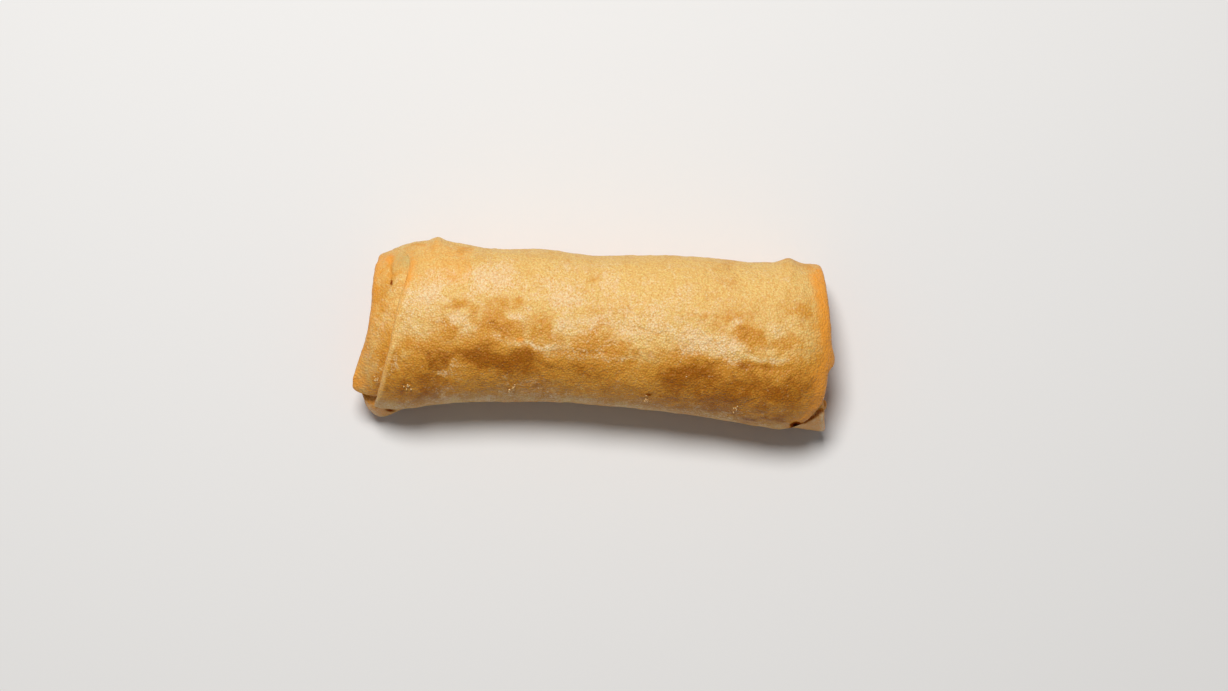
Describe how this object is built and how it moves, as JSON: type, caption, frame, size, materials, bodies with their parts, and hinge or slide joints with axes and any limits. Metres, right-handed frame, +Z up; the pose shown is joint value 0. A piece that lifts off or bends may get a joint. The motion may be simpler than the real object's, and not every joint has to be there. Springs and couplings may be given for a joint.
{
  "type": "fried spring roll",
  "caption": "Fried spring roll: a thin wheat leaf rolled round its filling, ends folded in, the last corner sealed underneath, resting flat on its seam side.",
  "frame": {"origin": "middle of the roll's box on the surface it rests on", "axes": "+X along the roll towards the end whose folds are nearly flush, -Y to the front where the under-layer's low corners stick out, +Z up"},
  "size_m": [0.1192, 0.0448, 0.0311],
  "materials": {
    "fried_wrapper": null
  },
  "bodies": {
    "root": {"spring_roll": "fried_wrapper"}
  },
  "joints": []
}
